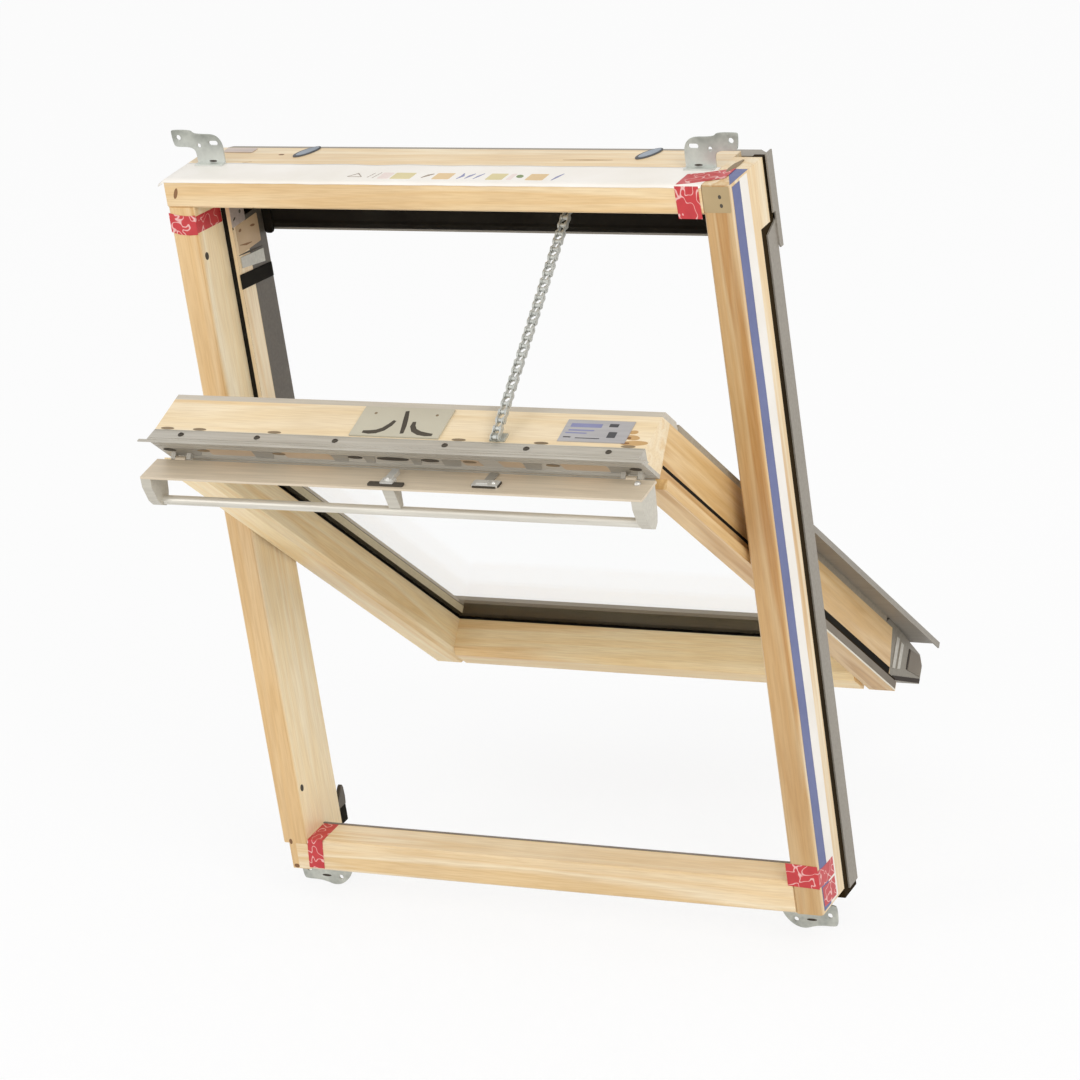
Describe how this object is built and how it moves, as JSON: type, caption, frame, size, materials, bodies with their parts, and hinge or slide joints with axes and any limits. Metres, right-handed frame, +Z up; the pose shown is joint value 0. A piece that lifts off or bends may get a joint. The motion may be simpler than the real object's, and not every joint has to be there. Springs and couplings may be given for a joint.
{
  "type": "centre pivot roof window",
  "caption": "Timber roof window: a glazed sash turns about mid height on arc-track hinges in a clad frame with fixing brackets, chain drive, ventilation flap and control bar.",
  "frame": {"origin": "centre of the room-side seat face of the lower left fixing bracket", "axes": "+X to the right seen from the room, +Y outward through the roof, +Z up the roof slope; the frame's plane is XZ"},
  "size_m": [0.801, 0.7879, 1.082],
  "materials": {
    "pine": "clear lacquered pale pine",
    "grey_cladding": "grey-brown lacquered sheet",
    "warm_grey": "light warm-grey anodised profile",
    "silver_tube": "satin silver tube",
    "zinc_steel": "zinc plated",
    "black_seal": "matt black",
    "plate_grey": "printed plate left blank",
    "clear_glass": "clear double glazing"
  },
  "bodies": {
    "frame": {"chain_exit_plate": "zinc_steel", "drive_chain": "zinc_steel", "frame_head": "pine", "frame_left_jamb": "pine", "frame_right_jamb": "pine", "frame_sill": "pine", "head_hood": "grey_cladding", "hood_lining": "black_seal", "left_foot_corner": "grey_cladding", "left_hinge_track": "zinc_steel", "left_jamb_cladding": "grey_cladding", "left_jamb_core": "black_seal", "left_stop_cladding": "grey_cladding", "left_stop_gasket": "black_seal", "left_upper_stop": "pine", "lower_left_bracket": "zinc_steel", "lower_right_bracket": "zinc_steel", "right_foot_corner": "grey_cladding", "right_hinge_track": "zinc_steel", "right_jamb_cladding": "grey_cladding", "right_jamb_core": "black_seal", "right_stop_cladding": "grey_cladding", "right_stop_gasket": "black_seal", "right_upper_stop": "pine", "sill_gasket": "black_seal", "upper_left_bracket": "zinc_steel", "upper_right_bracket": "zinc_steel"},
    "sash": {"bottom_nose": "grey_cladding", "chain_bracket": "zinc_steel", "data_plate": "plate_grey", "glazing_gasket": "black_seal", "inner_pane": "clear_glass", "left_hinge_shoe": "zinc_steel", "left_sash_gasket": "black_seal", "left_side_cover": "grey_cladding", "lock_plate": "warm_grey", "outer_pane": "clear_glass", "pane_spacer": "black_seal", "right_hinge_shoe": "zinc_steel", "right_sash_gasket": "black_seal", "right_side_cover": "grey_cladding", "sash_bottom_rail": "pine", "sash_left_cladding": "grey_cladding", "sash_left_stile": "pine", "sash_right_cladding": "grey_cladding", "sash_right_stile": "pine", "sash_top_cladding": "grey_cladding", "sash_top_rail": "pine", "vent_profile": "warm_grey"},
    "flap": {"control_bar": "silver_tube", "flap_centre_bracket": "warm_grey", "left_flap_cap": "warm_grey", "right_flap_cap": "warm_grey", "vent_flap": "warm_grey"}
  },
  "joints": [
    {"name": "sash_pivot", "type": "hinge", "parent": "frame", "child": "sash", "pos_m": [0.366, 0.095, 0.531], "axis": [1, 0, 0], "range_deg": [-47.5, 0], "deforming": ["drive_chain"]},
    {"name": "flap_hinge", "type": "hinge", "parent": "sash", "child": "flap", "pos_m": [0.366, -0.2604, 0.71154], "axis": [1, 0, 0], "range_deg": [-44, 0]}
  ]
}
